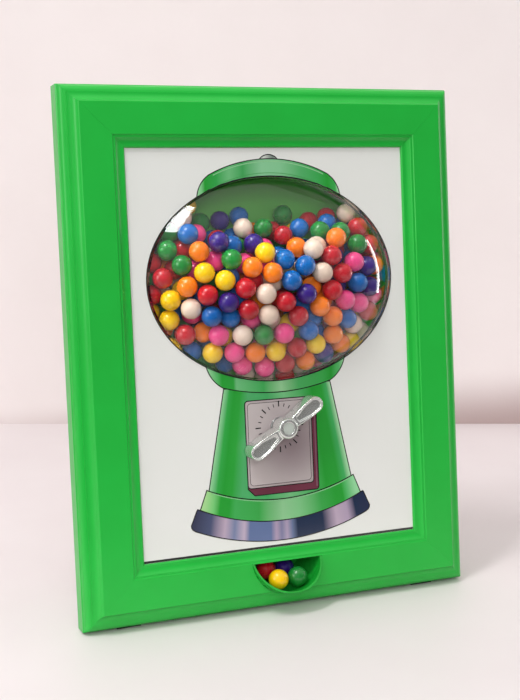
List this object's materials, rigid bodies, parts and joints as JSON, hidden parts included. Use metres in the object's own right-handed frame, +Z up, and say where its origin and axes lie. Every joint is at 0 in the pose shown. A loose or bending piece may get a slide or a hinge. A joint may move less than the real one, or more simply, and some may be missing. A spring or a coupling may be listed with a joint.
{
  "type": "framed gumball machine",
  "caption": "Green picture frame with a printed panel, clear oval globe of gumballs, wing crank and dispensing scoop, standing on an easel leg",
  "frame": {"origin": "on the table, under the middle of the bounding box", "axes": "+X to the viewer's right, +Y to the back, +Z up; the frame leans back about X"},
  "size_m": [0.305, 0.1638, 0.3804],
  "materials": {
    "frame_paint": "green gloss paint on a wooden moulding",
    "printed_panel": "glossy printed plastic sheet",
    "clear_globe": "clear glossy moulded plastic",
    "cabinet_board": "painted board",
    "back_board": "plain hardboard",
    "hopper_sheet": "dark green sheet",
    "mechanism_plastic": "moulded nylon",
    "scoop_plastic": "translucent green moulded plastic",
    "shaft_steel": "zinc-plated steel",
    "bushing_brass": "plain brass",
    "handle_metal": "satin-plated zinc casting",
    "cap_grey": "plain flat disc",
    "plate_steel": "zinc-plated plate",
    "leg_wood": "painted board",
    "foot_rubber": "matt black rubber",
    "gumball_red": "glossy sugar shell",
    "gumball_blue": "glossy sugar shell",
    "gumball_pink": "glossy sugar shell",
    "gumball_orange": "glossy sugar shell",
    "gumball_white": "glossy sugar shell",
    "gumball_yellow": "glossy sugar shell",
    "gumball_green": "glossy sugar shell",
    "gumball_purple": "glossy sugar shell"
  },
  "bodies": {
    "machine": {"cabinet_back": "back_board", "cabinet_back_screws": "shaft_steel", "cabinet_bottom": "cabinet_board", "cabinet_bracket_screws": "shaft_steel", "cabinet_brackets": "plate_steel", "cabinet_left_wall": "cabinet_board", "cabinet_right_wall": "cabinet_board", "cabinet_top": "cabinet_board", "corner_brace_screws": "shaft_steel", "corner_braces": "plate_steel", "drop_chute": "mechanism_plastic", "easel_brackets": "plate_steel", "easel_pin": "shaft_steel", "foot_pads": "foot_rubber", "frame_bottom_rail": "frame_paint", "frame_left_stile": "frame_paint", "frame_right_stile": "frame_paint", "frame_top_rail": "frame_paint", "front_bushing": "bushing_brass", "globe_dome": "clear_globe", "gumballs_blue": "gumball_blue", "gumballs_green": "gumball_green", "gumballs_orange": "gumball_orange", "gumballs_pink": "gumball_pink", "gumballs_purple": "gumball_purple", "gumballs_red": "gumball_red", "gumballs_white": "gumball_white", "gumballs_yellow": "gumball_yellow", "hopper_back": "hopper_sheet", "hopper_left_ramp": "hopper_sheet", "hopper_right_ramp": "hopper_sheet", "housing_cover": "mechanism_plastic", "housing_cover_screws": "shaft_steel", "lid_hinge_cabinet_leaves": "bushing_brass", "lid_hinge_pins": "shaft_steel", "mechanism_batten": "cabinet_board", "mechanism_screws": "shaft_steel", "picture_panel": "printed_panel", "rear_bushing": "bushing_brass", "scoop_cup": "scoop_plastic", "scoop_gumball_green": "gumball_green", "scoop_gumball_purple": "gumball_purple", "scoop_gumball_red": "gumball_red", "scoop_gumball_yellow": "gumball_yellow", "wheel_housing": "mechanism_plastic"},
    "crank": {"crank_handle": "handle_metal", "hub_cap": "cap_grey", "handle_screw": "shaft_steel", "crank_shaft": "shaft_steel", "shaft_clip": "shaft_steel", "dispensing_wheel": "mechanism_plastic", "metered_gumball": "gumball_orange"},
    "lid": {"refill_lid": "cabinet_board", "lid_knob": "handle_metal", "lid_hinge_lid_leaves": "bushing_brass", "lid_hinge_lid_screws": "shaft_steel"},
    "leg": {"easel_leg": "leg_wood", "easel_shoe": "foot_rubber"}
  },
  "joints": [
    {"name": "crank_turn", "type": "hinge", "parent": "machine", "child": "crank", "pos_m": [0, -0.04975, 0.13509], "axis": [0, -0.9938, 0.1108], "continuous": true},
    {"name": "lid_swing", "type": "hinge", "parent": "machine", "child": "lid", "pos_m": [0, 0.03561, 0.33587], "axis": [-1, 0, 0], "range_deg": [0, 180]},
    {"name": "leg_fold", "type": "hinge", "parent": "machine", "child": "leg", "pos_m": [0, 0.02765, 0.23372], "axis": [1, 0, 0], "range_deg": [-18.3, 0]}
  ]
}
